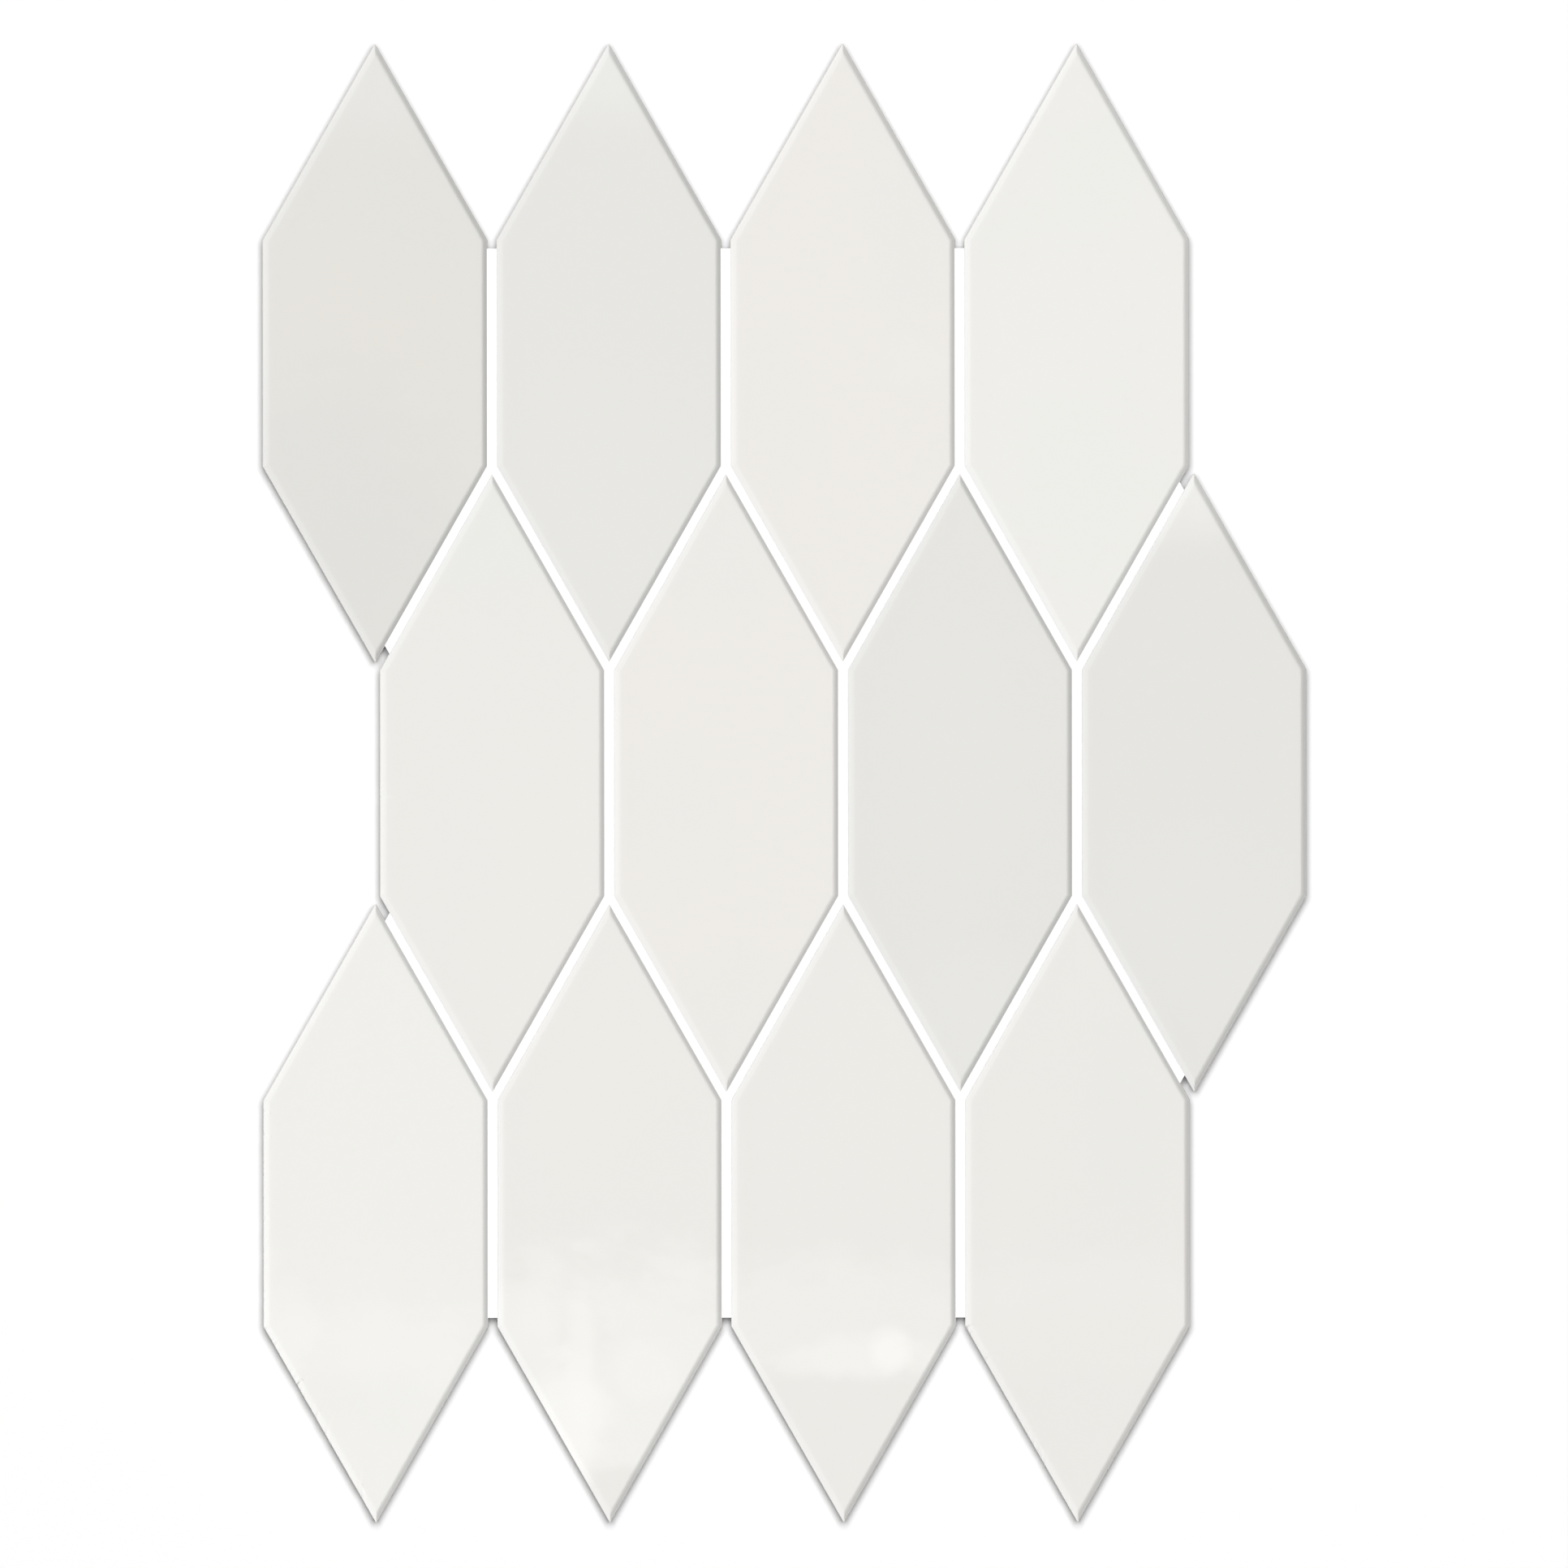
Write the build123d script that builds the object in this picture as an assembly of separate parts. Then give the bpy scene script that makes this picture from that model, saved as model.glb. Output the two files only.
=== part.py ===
from build123d import *
import os
from collections import Counter
from math import cos, radians, sin, tan

# A mosaic sheet of picket tiles. Sizes are in millimetres, angles in degrees.
# The sheet lies on its back: +Z points out of the glazed face, +Y runs along the tiles.

# Outline of one tile
tile_width = 50.0
side_length = 50.3
tip_angle = 59.5
corner_radius = 0.2

# Section of one tile
tile_thickness = 8.0
roll_width = 1.45
roll_slope = 32.0
rim_land = 0.2

# Layout of the sheet
rows = 3
columns = 4
upright_joint = 2.0
slanted_joint = 1.65

# Joint web, one white strip network moulded between the tiles, flush with their rims
web_back_recess = 1.0
upright_end_setback = 1.8
slanted_end_setback = 5.3

# Lengths that follow from the sizes above
half_tip = radians(tip_angle / 2)
tip_height = tile_width / 2 / tan(half_tip)
tile_length = side_length + 2 * tip_height
roll_radius = roll_width / sin(radians(roll_slope))
rim_height = tile_thickness - roll_radius * (1 - cos(radians(roll_slope)))

# Each tile lies in a six-sided cell that reaches to the middle of the joints round it
column_pitch = tile_width + upright_joint
cell_tip = tile_length / 2 + slanted_joint / 2 / sin(half_tip)
cell_shoulder = cell_tip - column_pitch / 2 / tan(half_tip)
row_pitch = cell_tip + cell_shoulder


def picket(half_width, shoulder, tip):
    """Corners of an upright six-sided picket about the origin, anticlockwise from its top."""
    left = [(0, tip), (-half_width, shoulder), (-half_width, -shoulder)]
    right = [(0, -tip), (half_width, -shoulder), (half_width, shoulder)]
    return left + right


def tile_outline():
    """Plan of a tile with its six corners slightly rounded."""
    sharp = Polygon(*picket(tile_width / 2, side_length / 2, tile_length / 2))
    return fillet(sharp.vertices(), corner_radius)


def cushion_bar(half_span, turn):
    """Long bar with the cushion edge that a tile has along two opposite sides.

    Its section is flat on top, rolls down in an arc at each side and ends in a narrow land.
    It runs past the sides and the back, so that only its top shapes the tile.
    """
    foot = half_span - rim_land
    crest = foot - roll_width
    outside = half_span + tile_thickness
    face = Line((-crest, tile_thickness), (crest, tile_thickness))
    right_roll = JernArc(face @ 1, (1, 0), roll_radius, -roll_slope)
    left_roll = mirror(right_roll, about=Plane.YZ)
    right_side = [(foot, rim_height), (outside, rim_height), (outside, -tile_thickness)]
    left_side = [(-x, z) for x, z in reversed(right_side)]
    under = Polyline(*right_side, *left_side)
    section = make_face(face + right_roll + under + left_roll)
    return Rot(Z=turn) * extrude(Plane.XZ * section, tile_length, both=True)


def picket_tile():
    """One pressed and glazed tile, its flat back on the ground plane."""
    slant_span = tile_length / 2 * sin(half_tip)
    body = extrude(tile_outline(), tile_thickness)
    body &= cushion_bar(tile_width / 2, 0)
    body &= cushion_bar(slant_span, tip_angle / 2)
    body &= cushion_bar(slant_span, -tip_angle / 2)
    return body


def tile_centre(row, column):
    """Middle of a tile, rows from the top. Rows alternate, the second half a pitch right."""
    shift = column_pitch / 4 if row % 2 else -column_pitch / 4
    x = (column - (columns - 1) / 2) * column_pitch + shift
    y = ((rows - 1) / 2 - row) * row_pitch
    return x, y


def cell_corners(centre):
    """Corners of the cell round a tile, rounded off so that neighbouring cells share them."""
    local = picket(column_pitch / 2, cell_shoulder, cell_tip)
    return [(round(centre[0] + x, 4), round(centre[1] + y, 4)) for x, y in local]


def joint_strip(start, end, start_open, end_open):
    """Plan of the strip along one joint, made wider than the joint.

    A strip runs past a crossing, and stops short of an open end at the sheet's outline.
    It is cut off square if it is upright, and in line with the other slant if it slants.
    """
    start, end = Vector(*start), Vector(*end)
    run = (end - start).normalized()
    upright = abs(run.X) < sin(half_tip) / 2
    setback = upright_end_setback if upright else slanted_end_setback
    overrun = max(upright_joint, slanted_joint) + corner_radius
    start += run * (setback if start_open else -overrun)
    end -= run * (setback if end_open else -overrun)
    across = Vector(1, 0) if upright else Vector(-run.X, run.Y)
    half = across * overrun
    corners = [start - half, start + half, end + half, end - half]
    if run.cross(half).Z > 0:
        corners.reverse()
    return Polygon(*corners)


def joint_web(centres):
    """White strip network that fills every joint between two tiles."""
    cells = [cell_corners(centre) for centre in centres]
    meeting = Counter(corner for cell in cells for corner in cell)
    edges = Counter()
    for cell in cells:
        edges.update(tuple(sorted(pair)) for pair in zip(cell, cell[1:] + cell[:1]))
    strips = Sketch()
    for (start, end), owners in edges.items():
        if owners == 2:
            strips += joint_strip(start, end, meeting[start] == 2, meeting[end] == 2)
    for centre in centres:
        strips -= Pos(*centre) * tile_outline()
    return Pos(Z=web_back_recess) * extrude(strips, rim_height - web_back_recess)


os.makedirs("parts", exist_ok=True)
tile = picket_tile()
places = [(row, column) for row in range(rows) for column in range(columns)]
for row, column in places:
    name = f"tile_row{row + 1}_col{column + 1}"
    export_step(Pos(*tile_centre(row, column)) * tile, f"parts/{name}.step")
export_step(joint_web([tile_centre(*place) for place in places]), "parts/joint_web.step")
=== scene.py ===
import bmesh
import bpy
import math
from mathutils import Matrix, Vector, noise


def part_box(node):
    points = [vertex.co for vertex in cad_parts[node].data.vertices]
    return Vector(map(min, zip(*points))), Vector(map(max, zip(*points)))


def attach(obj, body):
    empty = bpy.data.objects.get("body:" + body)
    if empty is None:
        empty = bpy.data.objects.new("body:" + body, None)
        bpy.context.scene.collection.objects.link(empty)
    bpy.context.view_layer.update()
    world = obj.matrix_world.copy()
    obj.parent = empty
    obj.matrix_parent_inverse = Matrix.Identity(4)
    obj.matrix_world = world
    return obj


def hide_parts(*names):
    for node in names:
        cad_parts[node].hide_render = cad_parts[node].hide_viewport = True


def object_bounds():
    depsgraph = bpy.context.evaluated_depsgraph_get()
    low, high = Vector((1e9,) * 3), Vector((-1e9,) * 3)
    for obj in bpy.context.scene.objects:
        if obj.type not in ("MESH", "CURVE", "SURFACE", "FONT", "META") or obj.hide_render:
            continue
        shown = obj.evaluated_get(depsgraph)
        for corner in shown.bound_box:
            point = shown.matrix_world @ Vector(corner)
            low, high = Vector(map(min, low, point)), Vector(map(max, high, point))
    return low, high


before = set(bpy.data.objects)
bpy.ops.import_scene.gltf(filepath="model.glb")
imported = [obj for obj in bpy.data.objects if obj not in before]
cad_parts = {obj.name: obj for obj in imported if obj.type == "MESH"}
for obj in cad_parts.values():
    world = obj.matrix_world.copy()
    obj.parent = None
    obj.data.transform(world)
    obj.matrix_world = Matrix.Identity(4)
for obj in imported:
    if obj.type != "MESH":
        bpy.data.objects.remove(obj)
cad_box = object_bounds()

# A mosaic sheet of twelve glazed picket tiles in a white joint web, lying face up.
# Lengths are in metres, written as so many MM.
MM = 0.001
ROWS = 3
COLUMNS = 4

# Sizes of a tile that its box doesn't give, as in the solid
HALF_TIP = math.radians(59.5 / 2)
CORNER_RADIUS = 0.2 * MM
ROLL_WIDTH = 1.45 * MM
ROLL_SLOPE = math.radians(32.0)
RIM_LAND = 0.2 * MM

# Sizes that follow from these and from its box. A slanted side lies SLANT_REACH from the
# middle of the tile, and the flat of the face begins CREST_INSET inside the outline.
low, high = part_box("tile_row1_col1")
TILE_WIDTH = high.x - low.x
THICKNESS = high.z
HALF_WIDTH = TILE_WIDTH / 2
TIP = (high.y - low.y) / 2 + CORNER_RADIUS * (1 / math.sin(HALF_TIP) - 1)
SLANT_REACH = TIP * math.sin(HALF_TIP)
ROLL_RADIUS = ROLL_WIDTH / math.sin(ROLL_SLOPE)
RIM_HEIGHT = THICKNESS - ROLL_RADIUS * (1 - math.cos(ROLL_SLOPE))
CREST_INSET = RIM_LAND + ROLL_WIDTH
SHEET_MIDDLE = (cad_box[0] + cad_box[1]) / 2

# Side of a tile: bare body below, glaze above, which ends in a wavering bead
BODY_INSET = 0.06 * MM
GLAZE_LINE = RIM_HEIGHT - 1.6 * MM
GLAZE_WAVER = 0.35 * MM
WAVER_LENGTH = 6 * MM
BEAD_REACH = 0.2 * MM

# How deep the fired face dips in its shorter and in its longer waves
SHORT_DIP = 0.030 * MM
LONG_DIP = 0.045 * MM

# Keyed back of a tile: upright grooves inside a flat border. The section of a groove runs
# from its mouth to its floor, as how far it has narrowed and how deep it is.
KEY_BORDER = 4.0 * MM
KEY_GROOVE = 4.0 * MM
KEY_RIB = 3.0 * MM
KEY_DEPTH = 0.7 * MM
KEY_SECTION = ((0.0, 0.0), (0.12 * MM, 0.35 * KEY_DEPTH), (0.45 * MM, KEY_DEPTH))

# The joint web stands a hair above the rims and laps onto the lands of the tiles
LAP_HEIGHT = 0.05 * MM
LAP_WIDTH = 0.12 * MM
LAP_DROP = 0.3 * LAP_HEIGHT
LAP_MITRE_LIMIT = 0.5

# How finely the meshes are cut
ARC_STEPS = 6
ROLL_STEPS = 12
FACE_RINGS = 9
PLAIN_STRETCHES = 24
WORN_STRETCHES = 160

# The photograph: a square frame, and the tile's width and the sheet's middle and turn in it
PHOTO_SIZE = 1932
TILE_PIXELS = 277.1
MIDDLE_PIXEL = (966.9, 964.7)
SHEET_TURN = math.radians(0.055)
METRES_PER_PIXEL = TILE_WIDTH / TILE_PIXELS

TILE_NODES = [
    f"tile_row{row + 1}_col{column + 1}" for row in range(ROWS) for column in range(COLUMNS)
]
TILE_CENTRES = {node: sum(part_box(node), Vector()) / 2 for node in TILE_NODES}

# Sides of a tile in the order of its outline, and how deep the worn ones are nicked
SIDES = ("upper_left", "left", "lower_left", "lower_right", "right", "upper_right")
WORN_SIDES = {
    "tile_row3_col1": {"left": 0.50 * MM, "lower_left": 0.45 * MM},
    "tile_row3_col4": {"lower_left": 0.45 * MM},
    "tile_row2_col1": {"left": 0.20 * MM},
    "tile_row1_col1": {"lower_left": 0.12 * MM},
}

# Material slots of a tile
GLAZE = 0
BISCUIT = 1


# Outline and section of a tile

def corners_at(inset):
    """The six corners of a tile's outline moved in by inset, anticlockwise from the top."""
    x = HALF_WIDTH - inset
    tip = (SLANT_REACH - inset) / math.sin(HALF_TIP)
    shoulder = tip - x / math.tan(HALF_TIP)
    left = [Vector((0, tip)), Vector((-x, shoulder)), Vector((-x, -shoulder))]
    right = [Vector((0, -tip)), Vector((x, -shoulder)), Vector((x, shoulder))]
    return left + right


def ring_at(inset, radius, side_steps):
    """Points of the outline moved in by inset, its corners rounded to radius.

    Side k runs from corner k to corner k + 1 and has side_steps[k] stretches.
    """
    corners = corners_at(inset)
    arcs = []
    for k, corner in enumerate(corners):
        before = (corners[k - 1] - corner).normalized()
        after = (corners[(k + 1) % 6] - corner).normalized()
        half = before.angle(after) / 2
        centre = corner + (before + after).normalized() * (radius / math.sin(half))
        start = corner + before * (radius / math.tan(half)) - centre
        turn = math.pi - 2 * half
        arc = []
        for step in range(ARC_STEPS + 1):
            angle = turn * step / ARC_STEPS
            arc.append(centre + Vector((start.x * math.cos(angle) - start.y * math.sin(angle),
                                        start.x * math.sin(angle) + start.y * math.cos(angle))))
        arcs.append(arc)
    points = []
    for k, arc in enumerate(arcs):
        points += arc
        following = arcs[(k + 1) % 6][0]
        steps = side_steps[k]
        points += [arc[-1].lerp(following, step / steps) for step in range(1, steps)]
    return points


def tile_section():
    """Rings of a tile from its back edge to the middle of its face: inset, height, corner radius.

    The bare body stands back a little from the glaze, which ends in a soft bead on the side.
    The narrow land along the rim is rounded off outwards, and the roll begins inside it.
    The corners of the rings get sharper towards the middle of the face.
    """
    back_edge = [(0.40 * MM, 0.0), (0.22 * MM, 0.06 * MM), (0.10 * MM, 0.22 * MM)]
    bare_side = [(BODY_INSET, z) for z in (0.50 * MM, 0.6 * GLAZE_LINE, GLAZE_LINE - 0.10 * MM)]
    bead = [(0.02 * MM, GLAZE_LINE), (0.0, GLAZE_LINE + 0.15 * MM)]
    glazed_side = [(0.0, RIM_HEIGHT - 0.35 * MM), (0.0, RIM_HEIGHT - 0.07 * MM)]
    land = [(0.02 * MM, RIM_HEIGHT - 0.02 * MM), (0.08 * MM, RIM_HEIGHT + 0.005 * MM)]
    rings = back_edge + bare_side + bead + glazed_side + land
    roll_foot = 0.30 * MM
    foot_slope = math.asin((CREST_INSET - roll_foot) / ROLL_RADIUS)
    for step in range(ROLL_STEPS + 1):
        slope = foot_slope * (1 - step / ROLL_STEPS)
        inset = CREST_INSET - ROLL_RADIUS * math.sin(slope)
        rings.append((inset, THICKNESS - ROLL_RADIUS * (1 - math.cos(slope))))
    spine = HALF_WIDTH - 0.5 * MM
    for step in range(1, FACE_RINGS + 1):
        rings.append((CREST_INSET + (spine - CREST_INSET) * step / FACE_RINGS, THICKNESS))
    return [(inset, z, min(CORNER_RADIUS, 0.3 * (HALF_WIDTH - inset))) for inset, z in rings]


# Unevenness of a tile

def swell(point, width, length, seed):
    """Smooth noise over the plan, about -1 to 1, whose waves are about this wide and long."""
    return noise.noise(Vector((point.x / width, point.y / length, seed)))


def side_of(point):
    """Name of the side that a point of the outline lies on."""
    across = "left" if point.x < 0 else "right"
    if abs(abs(point.x) - HALF_WIDTH) < 0.02 * MM:
        return across
    return ("upper_" if point.y > 0 else "lower_") + across


def nick_depth(point, depth, seed):
    """How far the worn edge is nicked at a point of the outline: mostly little, in places deep."""
    fine = swell(point, 0.9 * MM, 0.9 * MM, seed)
    coarse = swell(point, 5 * MM, 5 * MM, seed + 7)
    bites = max(0.0, fine * 1.6 + 0.2)
    patches = max(0.0, 0.55 + coarse)
    return depth * bites * patches


def glaze_dip(point, seed):
    """Slow unevenness of the fired glaze, as a depth below the highest point of the face."""
    slow = swell(point, 17 * MM, 24 * MM, seed)
    slower = swell(point, 45 * MM, 60 * MM, seed + 3)
    return SHORT_DIP * (0.5 + 0.5 * slow) + LONG_DIP * (0.5 + 0.5 * slower)


def wear_at(inset, z):
    """Share of a nick that reaches this ring of the section: all at the rim, none on the face."""
    reach = 0.9 * MM
    return 1 - min(1.0, abs(z - RIM_HEIGHT) / reach) if inset < CREST_INSET else 0.0


def dip_at(inset):
    """Share of the glaze's unevenness at this ring: none outside the crest, all a little inside."""
    reach = 3 * MM
    return min(1.0, max(0.0, (inset - CREST_INSET) / reach))


# Tile mesh

def ring_vertices(mesh, name, centre, seed):
    """Adds the rings of a tile to a mesh and returns them as lists of vertices.

    A worn side is finely cut, and so is its mirror image, so that the face can be closed across.
    """
    worn = WORN_SIDES.get(name, {})
    side_steps = [
        WORN_STRETCHES if side in worn or mirrored in worn else PLAIN_STRETCHES
        for side, mirrored in zip(SIDES, reversed(SIDES))
    ]
    outline = ring_at(0, CORNER_RADIUS, side_steps)
    nicks = [nick_depth(point, worn.get(side_of(point), 0.0), seed) for point in outline]
    rings = []
    for inset, z, radius in tile_section():
        wear = wear_at(inset, z)
        dip = dip_at(inset)
        ring = []
        for point, nick in zip(ring_at(inset, radius, side_steps), nicks):
            point = point - point.normalized() * nick * wear
            height = z - dip * glaze_dip(point, seed)
            if abs(z - GLAZE_LINE) < BEAD_REACH:
                height += GLAZE_WAVER * swell(point, WAVER_LENGTH, WAVER_LENGTH, seed)
            ring.append(mesh.verts.new((centre.x + point.x, centre.y + point.y, height)))
        rings.append(ring)
    return rings


def bridge(mesh, lower, upper, material):
    """Quads between two rings with as many points."""
    count = len(lower)
    for k in range(count):
        following = (k + 1) % count
        face = mesh.faces.new((lower[k], lower[following], upper[following], upper[k]))
        face.material_index = material


def close_face(mesh, ring):
    """Strips across the tile that close its innermost ring, whose left half mirrors its right."""
    points = ring[ARC_STEPS // 2:] + ring[:ARC_STEPS // 2]
    half = len(points) // 2
    mesh.faces.new((points[0], points[1], points[-1]))
    for k in range(1, half - 1):
        mesh.faces.new((points[k], points[k + 1], points[-k - 1], points[-k]))
    mesh.faces.new((points[half - 1], points[half], points[half + 1]))


def groove_corners(left, right):
    """Plan of one key groove between two upright lines, its ends along the slants."""
    def end(x):
        return (SLANT_REACH - KEY_BORDER - abs(x) * math.cos(HALF_TIP)) / math.sin(HALF_TIP)
    return [Vector((left, -end(left))), Vector((right, -end(right))),
            Vector((right, end(right))), Vector((left, end(left)))]


def loop_edges(mesh, loop):
    """The edges of a closed loop of vertices."""
    return [mesh.edges.get((loop[k - 1], loop[k])) for k in range(len(loop))]


def key_back(mesh, back_ring, centre):
    """Closes the back of a tile: flat border and ribs, and grooves pressed in between them."""
    pitch = KEY_GROOVE + KEY_RIB
    rounding = 1e-6
    count = int((TILE_WIDTH - 2 * KEY_BORDER + KEY_RIB) / pitch + rounding)
    edges = loop_edges(mesh, back_ring)
    for groove in range(count):
        middle = (groove - (count - 1) / 2) * pitch
        loops = []
        for shrink, height in KEY_SECTION:
            half = KEY_GROOVE / 2 - shrink
            plan = groove_corners(middle - half, middle + half)
            for corner in plan:
                corner.y -= math.copysign(shrink, corner.y)
            loops.append([mesh.verts.new((centre.x + p.x, centre.y + p.y, height)) for p in plan])
        for outer, inner in zip(loops, loops[1:]):
            bridge(mesh, outer, inner, BISCUIT)
        mesh.faces.new(loops[-1]).material_index = BISCUIT
        edges += loop_edges(mesh, loops[0])
    filled = bmesh.ops.triangle_fill(mesh, use_beauty=True, edges=edges)
    for item in filled["geom"]:
        if isinstance(item, bmesh.types.BMFace):
            item.material_index = BISCUIT


def mesh_object(name, mesh, materials, crease):
    """New object of a finished mesh, smooth but for creases of more than so many degrees."""
    bmesh.ops.recalc_face_normals(mesh, faces=mesh.faces)
    data = bpy.data.meshes.new(name)
    mesh.to_mesh(data)
    mesh.free()
    for material in materials:
        data.materials.append(material)
    data.shade_smooth()
    data.set_sharp_from_angle(angle=math.radians(crease))
    made = bpy.data.objects.new(name, data)
    bpy.context.scene.collection.objects.link(made)
    return made


def make_tile(node, seed, glaze, biscuit):
    """A glazed tile as one closed mesh that stands for its CAD solid."""
    centre = TILE_CENTRES[node]
    mesh = bmesh.new()
    rings = ring_vertices(mesh, node, centre, seed)
    heights = [ring[1] for ring in tile_section()]
    bead_foot = GLAZE_LINE - 0.11 * MM
    for z, lower, upper in zip(heights, rings, rings[1:]):
        bridge(mesh, lower, upper, GLAZE if z >= bead_foot else BISCUIT)
    close_face(mesh, rings[-1])
    key_back(mesh, rings[0], centre)
    piece = mesh_object("glazed_" + node, mesh, [glaze, biscuit], crease=28)
    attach(piece, "root")
    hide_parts(node)
    return piece


# Joint web

def on_a_tile(point):
    """Whether a point of the plan lies on one of the tiles."""
    for centre in TILE_CENTRES.values():
        x, y = abs(point.x - centre.x), abs(point.y - centre.y)
        if x < HALF_WIDTH and x * math.cos(HALF_TIP) + y * math.sin(HALF_TIP) < SLANT_REACH:
            return True
    return False


def tile_edges(mesh):
    """Upper edges of the web that lie against a tile, each with the way out to that tile."""
    probe = 0.1 * MM
    found = []
    for edge in mesh.edges:
        tops = [face for face in edge.link_faces if face.normal.z > 0.9]
        walls = [face for face in edge.link_faces if abs(face.normal.z) < 0.1]
        if tops and walls:
            way = walls[0].normal.copy()
            middle = (edge.verts[0].co + edge.verts[1].co) / 2
            if on_a_tile(middle + way * probe):
                found.append((edge, way))
    return found


def make_web():
    """The joint web, its face a hair above the rims and its edges lapping onto the tiles' lands."""
    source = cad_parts["joint_web"]
    mesh = bmesh.new()
    mesh.from_mesh(source.data)
    bmesh.ops.remove_doubles(mesh, verts=mesh.verts, dist=0.001 * MM)
    mesh.normal_update()
    rims = tile_edges(mesh)
    outward = {}
    for edge, way in rims:
        for vertex in edge.verts:
            outward.setdefault(vertex, []).append(way)
    for vertex in mesh.verts:
        if vertex.co.z > RIM_HEIGHT - 0.01 * MM:
            vertex.co.z = RIM_HEIGHT + LAP_HEIGHT
    lips = {}
    for vertex, ways in outward.items():
        way = sum(ways, Vector()).normalized()
        reach = LAP_WIDTH / max(LAP_MITRE_LIMIT, way.dot(ways[0]))
        lips[vertex] = mesh.verts.new(vertex.co + way * reach - Vector((0, 0, LAP_DROP)))
    for edge, _ in rims:
        start, end = edge.verts
        mesh.faces.new((start, end, lips[end], lips[start]))
    piece = mesh_object("joint_filler_web", mesh, [joint_material()], crease=35)
    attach(piece, "root")
    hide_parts("joint_web")
    return piece


# Materials

def linear(value):
    """One channel of an sRGB colour, 0 to 255, as linear light."""
    share = value / 255
    return share / 12.92 if share <= 0.04045 else ((share + 0.055) / 1.055) ** 2.4


def colour(red, green, blue):
    """An sRGB colour, 0 to 255, as the linear colour of a socket."""
    return (linear(red), linear(green), linear(blue), 1.0)


def even(size):
    """The same size along all three axes."""
    return (size, size, size)


ORIGIN = (0, 0, 0)


class Nodes:
    """Short calls for the nodes of one material. Places are in metres in object space."""

    def __init__(self, name):
        self.material = bpy.data.materials.new(name)
        self.material.use_nodes = True
        self.tree = self.material.node_tree
        self.shader = self.tree.nodes["Principled BSDF"]
        coordinates = self.tree.nodes.new("ShaderNodeTexCoord")
        self.place = coordinates.outputs["Object"]

    def set(self, **sockets):
        """Sets sockets of the shader, their names with _ for a space."""
        for name, value in sockets.items():
            self.shader.inputs[name.replace("_", " ")].default_value = value

    def link(self, source, target):
        """Feeds one socket into another."""
        self.tree.links.new(source, target)

    def mapped(self, centre, scale):
        """Place from the centre, in units of scale."""
        node = self.tree.nodes.new("ShaderNodeMapping")
        node.vector_type = "TEXTURE"
        node.inputs["Location"].default_value = centre
        node.inputs["Scale"].default_value = scale
        self.link(self.place, node.inputs["Vector"])
        return node.outputs["Vector"]

    def clouds(self, vector, seed, detail, rough, distortion=0.0):
        """Soft noise, 0 to 1 and mostly near the middle."""
        node = self.tree.nodes.new("ShaderNodeTexNoise")
        node.noise_dimensions = "4D"
        node.inputs["W"].default_value = seed
        node.inputs["Scale"].default_value = 1.0
        node.inputs["Detail"].default_value = detail
        node.inputs["Roughness"].default_value = rough
        node.inputs["Distortion"].default_value = distortion
        self.link(vector, node.inputs["Vector"])
        return node.outputs["Fac"]

    def spread(self, value, start, end, low=0.0, high=1.0):
        """Smooth step from low to high while the value goes from start to end."""
        node = self.tree.nodes.new("ShaderNodeMapRange")
        node.interpolation_type = "SMOOTHSTEP"
        node.inputs["From Min"].default_value = start
        node.inputs["From Max"].default_value = end
        node.inputs["To Min"].default_value = low
        node.inputs["To Max"].default_value = high
        self.link(value, node.inputs["Value"])
        return node.outputs["Result"]

    def arithmetic(self, operation, first, second):
        """Sum, product or the like of two values, each a number or a socket."""
        node = self.tree.nodes.new("ShaderNodeMath")
        node.operation = operation
        for value, socket in ((first, node.inputs[0]), (second, node.inputs[1])):
            if isinstance(value, float):
                socket.default_value = value
            else:
                self.link(value, socket)
        return node.outputs["Value"]

    def along(self, vector, direction):
        """How far a vector reaches in a direction."""
        node = self.tree.nodes.new("ShaderNodeVectorMath")
        node.operation = "DOT_PRODUCT"
        node.inputs[1].default_value = direction
        self.link(vector, node.inputs[0])
        return node.outputs["Value"]

    def length(self, vector):
        """Length of a vector."""
        node = self.tree.nodes.new("ShaderNodeVectorMath")
        node.operation = "LENGTH"
        self.link(vector, node.inputs[0])
        return node.outputs["Value"]

    def outwards(self, centre):
        """How far a point lies outside the outline of the tile round the centre.

        It is below zero inside, where it counts to the nearest side.
        """
        fold = self.tree.nodes.new("ShaderNodeVectorMath")
        fold.operation = "ABSOLUTE"
        self.link(self.mapped(centre, even(1)), fold.inputs[0])
        across = self.along(fold.outputs["Vector"], (1, 0, 0))
        slanting = self.along(fold.outputs["Vector"], (math.cos(HALF_TIP), math.sin(HALF_TIP), 0))
        from_side = self.arithmetic("SUBTRACT", across, HALF_WIDTH)
        from_slant = self.arithmetic("SUBTRACT", slanting, SLANT_REACH)
        return self.arithmetic("MAXIMUM", from_side, from_slant)

    def toned(self, base, saturation, value):
        """A colour with its saturation and its brightness scaled."""
        node = self.tree.nodes.new("ShaderNodeHueSaturation")
        self.link(saturation, node.inputs["Saturation"])
        self.link(value, node.inputs["Value"])
        self.link(base, node.inputs["Color"])
        return node.outputs["Color"]

    def mix(self, factor, first, second):
        """The first colour where the factor is 0, the second where it is 1."""
        node = self.tree.nodes.new("ShaderNodeMix")
        node.data_type = "RGBA"
        for value, socket in ((first, node.inputs[6]), (second, node.inputs[7])):
            if isinstance(value, tuple):
                socket.default_value = value
            else:
                self.link(value, socket)
        self.link(factor, node.inputs[0])
        return node.outputs[2]

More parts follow.
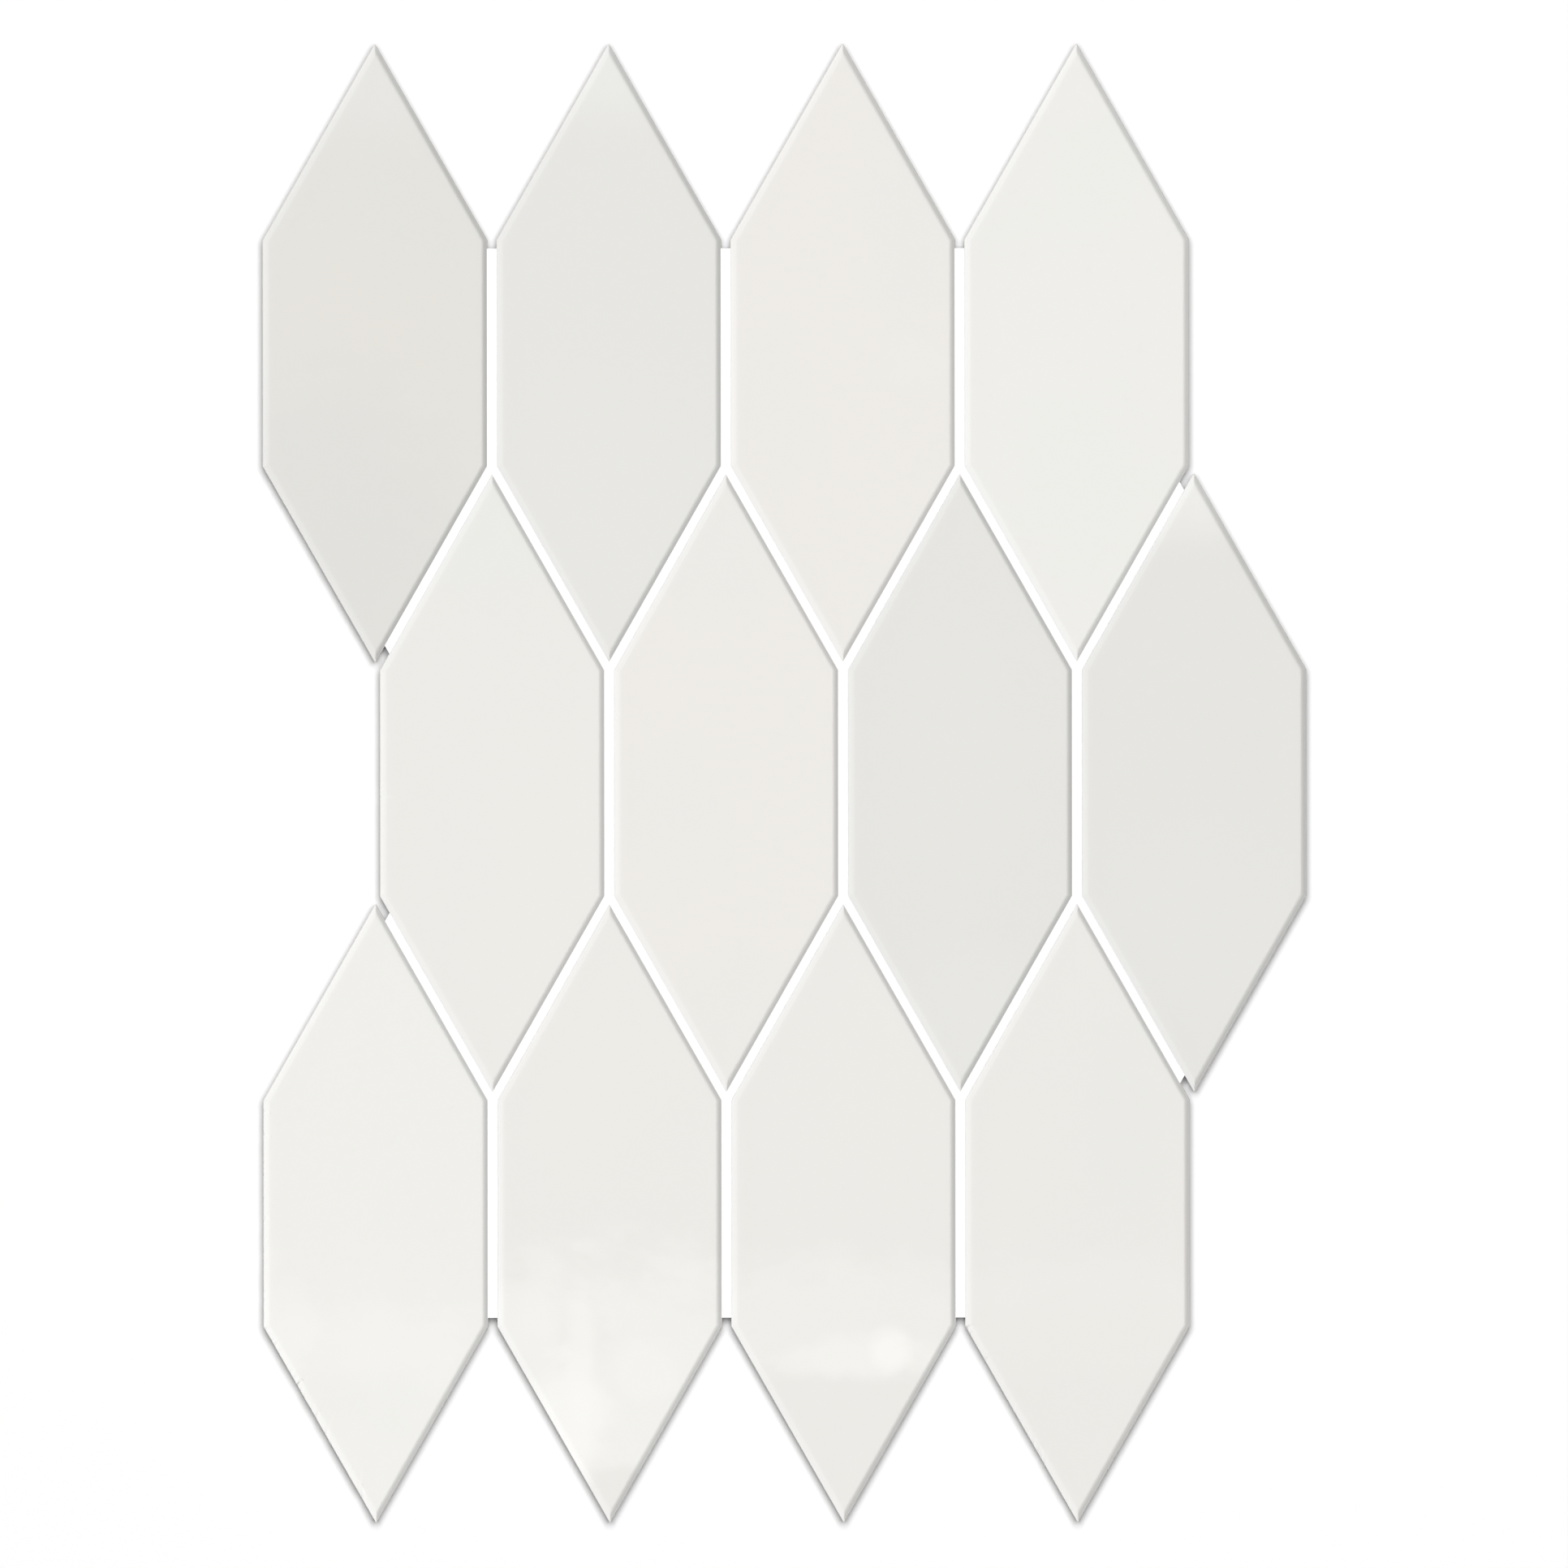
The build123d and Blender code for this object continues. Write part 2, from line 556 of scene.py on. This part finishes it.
    def bump(self, height, strength, distance):
        """Fine relief."""
        node = self.tree.nodes.new("ShaderNodeBump")
        node.inputs["Strength"].default_value = strength
        node.inputs["Distance"].default_value = distance
        self.link(height, node.inputs["Height"])
        return node.outputs["Normal"]


# Part of the light on the face that the glaze mirrors, and part that its colour scatters
MIRRORED = 0.0942
SCATTERED = 1.011


def glaze_colour(red, green, blue):
    """Base colour of a glaze that shows this sRGB colour under the lamps of the scene."""
    return tuple((linear(v) - MIRRORED) / SCATTERED for v in (red, green, blue)) + (1.0,)


# Tones of the glazes from dark to light, the three lightest painted reflections, and the lip's tone
DUSK = glaze_colour(225, 224, 220)
ASH = glaze_colour(228, 227, 222)
CLAY = glaze_colour(230, 227, 221)
FOG = glaze_colour(231, 230, 226)
MIST = glaze_colour(235, 235, 231)
CREAM = glaze_colour(237, 235.4, 231)
SHELL = glaze_colour(238.6, 236, 231)
MINT = glaze_colour(238, 239, 234)
MILK = glaze_colour(240, 239, 235)
# Painted reflections in the glaze's gloss, lighter than any of its tones
REFLECTED_HAZE = glaze_colour(242.5, 241.5, 237.5)
REFLECTED_BLOOM = glaze_colour(246, 245, 241)
REFLECTED_GLINT = glaze_colour(251, 250, 246)
# Dark line along the outer lip: partly the bare body where the glaze breaks thin, partly painted
# shade
SHADED_BARE_LIP = colour(196, 190, 180)
SHADED_LIP_STRENGTH = 0.7


def cloud_and_reflection(tone, x, y, half_width, half_height, strength, ragged=0.4, soft=0.5):
    """A glaze cloud or a painted reflection: its tone, place on the tile and half sizes in
    millimetres.

    Strength says how far its tone covers the ground, ragged how torn its edge is, and soft how
    wide the edge fades, the last two as shares of its size.
    """
    place = Vector((x * MM, y * MM, 0))
    return tone, place, (half_width * MM, half_height * MM, 1), strength, ragged, soft


# Ground tone of each tile and the clouds in its glaze, with painted reflections on the bottom row
TILE_GLAZES_AND_REFLECTIONS = {
    "tile_row1_col1": (ASH, [
        cloud_and_reflection(CLAY, -3, 8, 24, 16, 0.8), cloud_and_reflection(CLAY, 13, -16, 11, 13, 0.7),
        cloud_and_reflection(DUSK, -10, -34, 26, 28, 0.7, 0.2), cloud_and_reflection(DUSK, 2, -56, 20, 24, 0.5, 0.1),
        cloud_and_reflection(FOG, 0, 68, 26, 20, 1.0, 0.08)]),
    "tile_row1_col2": (FOG, [
        cloud_and_reflection(MIST, 0, 70, 26, 18, 1.0, 0.06), cloud_and_reflection(MIST, 0, -36, 32, 34, 0.2, 0.1)]),
    "tile_row1_col3": (SHELL, [
        cloud_and_reflection(MIST, 16, 33, 11, 26, 0.4, 0.3), cloud_and_reflection(MINT, 18, -2, 8, 6, 0.4),
        cloud_and_reflection(CREAM, -16, -12, 9, 16, 0.4, 0.3)]),
    "tile_row1_col4": (MILK, [
        cloud_and_reflection(MINT, 5, 40, 12, 15, 0.5, 0.3), cloud_and_reflection(MINT, 1, -29, 18, 22, 0.6, 0.3),
        cloud_and_reflection(MINT, -14, 26, 8, 8, 0.3)]),
    "tile_row2_col1": (CREAM, [
        cloud_and_reflection(MIST, 0, 56, 22, 20, 0.8, 0.15), cloud_and_reflection(MIST, -18, 4, 12, 30, 0.3, 0.3),
        cloud_and_reflection(SHELL, 14, -14, 14, 24, 0.5, 0.3), cloud_and_reflection(SHELL, 6, -44, 13, 16, 0.5, 0.3)]),
    "tile_row2_col2": (SHELL, [
        cloud_and_reflection(MIST, -3, 52, 15, 14, 0.5, 0.3), cloud_and_reflection(MIST, -13, -7, 12, 17, 0.4, 0.3),
        cloud_and_reflection(MIST, 2, -54, 12, 16, 0.4, 0.2)]),
    "tile_row2_col3": (FOG, [
        cloud_and_reflection(MINT, 3, 3, 18, 28, 0.08, 0.3), cloud_and_reflection(MIST, 0, -54, 20, 18, 0.3, 0.1)]),
    "tile_row2_col4": (FOG, [
        cloud_and_reflection(MILK, -2, 72, 26, 17, 1.0, 0.08), cloud_and_reflection(MIST, 0, -34, 30, 26, 0.2, 0.1)]),
    # Bottom row: the light drifts low on the tiles are painted reflections, edged below by CREAM
    # ones
    "tile_row3_col1": (MILK, [
        cloud_and_reflection(REFLECTED_HAZE, 0, -44, 46, 30, 0.8, 0.15), cloud_and_reflection(REFLECTED_BLOOM, -21, -23, 8, 11, 0.5, 0.3),
        cloud_and_reflection(REFLECTED_BLOOM, 3, -29, 25, 9, 0.45, 0.3), cloud_and_reflection(MILK, -9, -41, 9, 6, 0.4, 0.3),
        cloud_and_reflection(MINT, 3, -45, 7, 9, 0.3)]),
    "tile_row3_col2": (CREAM, [
        cloud_and_reflection(SHELL, -2, 32, 20, 26, 0.6, 0.3), cloud_and_reflection(REFLECTED_HAZE, 0, -36, 52, 28, 1.0, 0.2, 0.35),
        cloud_and_reflection(CREAM, 0, -75, 40, 20, 1.0, 0.05, 0.08), cloud_and_reflection(CREAM, -9, -30, 8, 9, 0.45, 0.6),
        cloud_and_reflection(REFLECTED_BLOOM, -15, -26, 5, 6, 0.5, 0.5),
        cloud_and_reflection(REFLECTED_GLINT, -6.5, -38, 3.4, 24, 0.45, 0.3), cloud_and_reflection(REFLECTED_GLINT, -9, -46, 9, 13, 0.7, 0.2),
        cloud_and_reflection(REFLECTED_BLOOM, 8, -35, 8, 7, 0.6, 0.15, 0.25)]),
    "tile_row3_col3": (CREAM, [
        cloud_and_reflection(SHELL, 8, 30, 16, 24, 0.5, 0.3), cloud_and_reflection(REFLECTED_HAZE, 0, -24, 55, 14.5, 0.6, 0.2, 0.35),
        cloud_and_reflection(CREAM, 0, -57, 60, 22.5, 1.0, 0.06, 0.08),
        cloud_and_reflection(REFLECTED_BLOOM, 2, -32, 19, 4.2, 0.7, 0.3), cloud_and_reflection(REFLECTED_GLINT, 10.5, -30.5, 4.4, 4.6, 0.8, 0.15),
        cloud_and_reflection(MILK, 15, -14, 9, 5, 0.5, 0.4)]),
    "tile_row3_col4": (CREAM, [
        cloud_and_reflection(MIST, 12, 22, 14, 26, 0.5, 0.3), cloud_and_reflection(SHELL, -13, 12, 13, 20, 0.5, 0.3),
        cloud_and_reflection(REFLECTED_HAZE, 0, -22, 50, 13, 0.3, 0.2, 0.4), cloud_and_reflection(SHELL, -2, -27, 26, 10, 0.5, 0.3)]),
}


def edge_shade_and_bare_lip(nodes, base, centre):
    """The glaze's colour with painted shade on the rolled edge and lip, where the body also shows.
    """
    out = nodes.outwards(centre)
    # Painted shade: the rolled edge greyer and, further out, a few per cent darker
    saturation = nodes.spread(out, -2.4 * MM, -0.3 * MM, low=1.0, high=0.55)
    brightness = nodes.spread(out, -1.3 * MM, -0.7 * MM, low=1.0, high=0.965)
    base = nodes.toned(base, saturation, brightness)
    # Dark lip along the top of the outline: partly the bare body, partly painted shade
    height = nodes.along(nodes.place, (0, 0, 1))
    outermost = nodes.spread(out, -0.17 * MM, -0.06 * MM)
    uppermost = nodes.spread(height, RIM_HEIGHT - 0.25 * MM, RIM_HEIGHT - 0.12 * MM)
    bare_and_shaded_lip = nodes.arithmetic("MULTIPLY", outermost, uppermost)
    return nodes.mix(nodes.arithmetic("MULTIPLY", bare_and_shaded_lip, SHADED_LIP_STRENGTH), base, SHADED_BARE_LIP)


def glaze_material(node, seed):
    """Glossy off-white glaze, faintly mottled and clouded, with painted reflections and painted
    edge shade.
    """
    ground, clouds_and_reflections = TILE_GLAZES_AND_REFLECTIONS[node]
    centre = TILE_CENTRES[node]
    nodes = Nodes("glaze_" + node)
    wisps = nodes.mapped(centre, (11 * MM, 8 * MM, 11 * MM))
    torn = nodes.clouds(wisps, seed, detail=4.0, rough=0.55, distortion=0.3)
    specks = nodes.mapped(centre, (2.4 * MM, 2.0 * MM, 2.4 * MM))
    mottle = nodes.clouds(specks, seed + 11, detail=4.0, rough=0.6)
    warmer = nodes.mix(nodes.spread(mottle, 0.50, 0.72, high=0.10), ground, SHELL)
    base = nodes.mix(nodes.spread(mottle, 0.50, 0.28, high=0.12), warmer, FOG)
    for tone, place, half_sizes, strength, ragged, soft in clouds_and_reflections:
        reach = nodes.length(nodes.mapped(centre + place, half_sizes))
        edge = nodes.arithmetic("ADD", reach, nodes.spread(torn, 0.3, 0.7, -ragged, ragged))
        cover = nodes.spread(edge, 0.9 + soft, 0.9 - soft, high=strength)
        base = nodes.mix(cover, base, tone)
    nodes.link(edge_shade_and_bare_lip(nodes, base, centre), nodes.shader.inputs["Base Color"])
    peel = nodes.clouds(nodes.mapped(centre, even(1.1 * MM)), seed + 23, detail=2.0, rough=0.5)
    nodes.link(nodes.bump(peel, strength=0.05, distance=0.02 * MM), nodes.shader.inputs["Normal"])
    roughness = nodes.spread(mottle, 0.3, 0.8, low=0.16, high=0.24)
    nodes.link(roughness, nodes.shader.inputs["Roughness"])
    nodes.set(IOR=1.5, Coat_Weight=0.2, Coat_Roughness=0.05)
    return nodes.material


def biscuit_material():
    """Bare fired body of the back and the lower sides: matt, chalky, with fine pores."""
    nodes = Nodes("biscuit")
    grain = nodes.clouds(nodes.mapped(ORIGIN, even(0.6 * MM)), 2.0, detail=5.0, rough=0.65)
    stain = nodes.clouds(nodes.mapped(ORIGIN, even(14 * MM)), 5.0, detail=3.0, rough=0.5)
    body = nodes.mix(nodes.spread(stain, 0.35, 0.7), colour(233, 226, 214), colour(222, 212, 198))
    body = nodes.mix(nodes.spread(grain, 0.62, 0.75, high=0.6), body, colour(196, 184, 168))
    nodes.link(body, nodes.shader.inputs["Base Color"])
    nodes.link(nodes.bump(grain, strength=0.5, distance=0.08 * MM), nodes.shader.inputs["Normal"])
    nodes.set(Roughness=0.85, IOR=1.45)
    return nodes.material


def joint_material():
    """Matt white elastic filler with a fine sandy grain."""
    nodes = Nodes("joint_filler")
    grain = nodes.clouds(nodes.mapped(ORIGIN, even(0.35 * MM)), 1.0, detail=4.0, rough=0.6)
    tone = nodes.mix(nodes.spread(grain, 0.4, 0.75), colour(252, 252, 251), colour(248, 248, 247))
    nodes.link(tone, nodes.shader.inputs["Base Color"])
    nodes.link(nodes.bump(grain, strength=0.25, distance=0.05 * MM), nodes.shader.inputs["Normal"])
    nodes.set(Roughness=0.6, IOR=1.4)
    return nodes.material


# Floor, backdrop and lamps

def stage_object(name, points, faces):
    """New object of plain faces with a material of its own; returns it and the shader."""
    data = bpy.data.meshes.new(name)
    data.from_pydata(points, [], faces)
    material = bpy.data.materials.new(name)
    material.use_nodes = True
    data.materials.append(material)
    made = bpy.data.objects.new(name, data)
    bpy.context.scene.collection.objects.link(made)
    return made, material.node_tree.nodes["Principled BSDF"]


def make_floor():
    """Large pale lit table, a hair under the sheet."""
    half = 3.0
    drop = -0.05 * MM
    corners = [(-half, -half, drop), (half, -half, drop), (half, half, drop), (-half, half, drop)]
    floor, shader = stage_object("floor", corners, [(0, 1, 2, 3)])
    shader.inputs["Base Color"].default_value = (0.90, 0.90, 0.90, 1)
    shader.inputs["Roughness"].default_value = 0.9
    return floor


def make_backdrop():
    """Pale round wall that the glaze mirrors in low views. From above it is not mirrored."""
    radius = 2.9
    height = 1.15
    sides = 48
    foot = [(radius * math.cos(math.tau * k / sides), radius * math.sin(math.tau * k / sides), 0)
            for k in range(sides)]
    points = foot + [(x, y, height) for x, y, _ in foot]
    walls = [(k, (k + 1) % sides, (k + 1) % sides + sides, k + sides) for k in range(sides)]
    backdrop, shader = stage_object("backdrop", points, walls)
    shader.inputs["Emission Color"].default_value = (1.0, 1.0, 1.0, 1.0)
    shader.inputs["Emission Strength"].default_value = 0.9
    backdrop.active_material.cycles.emission_sampling = "NONE"
    backdrop.visible_camera = False
    backdrop.visible_diffuse = False
    backdrop.visible_shadow = False


def make_lamp(name, lit, shape, size, power, lean, bearing, distance, bounces):
    """Soft light at lean degrees off the vertical, towards bearing (0 is +X, 90 is +Y).

    It lights only the objects in lit.
    """
    data = bpy.data.lights.new(name, "AREA")
    data.shape = shape
    data.size = size
    data.energy = power
    data.cycles.max_bounces = bounces
    lamp = bpy.data.objects.new(name, data)
    bpy.context.scene.collection.objects.link(lamp)
    lean = math.radians(lean)
    bearing = math.radians(bearing)
    level = math.sin(lean)
    way = Vector((level * math.cos(bearing), level * math.sin(bearing), math.cos(lean)))
    lamp.location = SHEET_MIDDLE + way * distance
    lamp.rotation_mode = "QUATERNION"
    lamp.rotation_quaternion = way.to_track_quat("Z", "Y")
    lamp.visible_camera = False
    group = bpy.data.collections.new("lit_by_" + name)
    for member in lit:
        group.objects.link(member)
    lamp.light_linking.receiver_collection = group
    return lamp


def make_world():
    """Pale surroundings that the camera sees and that light nothing."""
    world = bpy.data.worlds.new("studio")
    bpy.context.scene.world = world
    world.use_nodes = True
    world.node_tree.nodes["Background"].inputs["Color"].default_value = (0.92, 0.92, 0.92, 1)
    world.cycles_visibility.diffuse = False
    world.cycles_visibility.glossy = False


def make_camera():
    """Camera straight above the sheet and so far off that it sees next to no perspective."""
    data = bpy.data.cameras.new("camera")
    data.lens = 1000
    data.sensor_width = 36
    data.clip_end = 200
    camera = bpy.data.objects.new("camera", data)
    bpy.context.scene.collection.objects.link(camera)
    frame_width = PHOTO_SIZE * METRES_PER_PIXEL
    shift_x = (PHOTO_SIZE / 2 - MIDDLE_PIXEL[0]) * METRES_PER_PIXEL
    shift_y = (MIDDLE_PIXEL[1] - PHOTO_SIZE / 2) * METRES_PER_PIXEL
    camera.location = (SHEET_MIDDLE.x + shift_x, SHEET_MIDDLE.y + shift_y,
                       THICKNESS + frame_width * data.lens / data.sensor_width)
    camera.rotation_euler.z = -SHEET_TURN
    bpy.context.scene.camera = camera


# The sheet, where each tile has a seed of its own for its unevenness and clouds

biscuit = biscuit_material()
sheet_pieces = []
for number, node in enumerate(TILE_NODES):
    seed = 3.7 * number + 1.3
    glaze = glaze_material(node, seed)
    sheet_pieces.append(make_tile(node, seed, glaze, biscuit))
sheet_pieces.append(make_web())

# Its surroundings: the key lights the sheet, the fill hardly adds to it, and the table lamp
# lights the floor and draws the shadow of the sheet on it

floor = make_floor()
make_backdrop()
make_lamp("key_softbox", sheet_pieces, shape="SQUARE", size=12.4, power=1003,
          lean=27.5, bearing=172, distance=6.0, bounces=0)
make_lamp("fill_card", sheet_pieces, shape="SQUARE", size=3.0, power=1,
          lean=60, bearing=-30, distance=3.0, bounces=0)
table_lamp = make_lamp("table_lamp", [floor], shape="DISK", size=2.22, power=421,
                       lean=5.5, bearing=81, distance=6.0, bounces=1)
table_lamp.visible_glossy = False
make_world()
make_camera()
bpy.context.scene.view_settings.view_transform = "Standard"
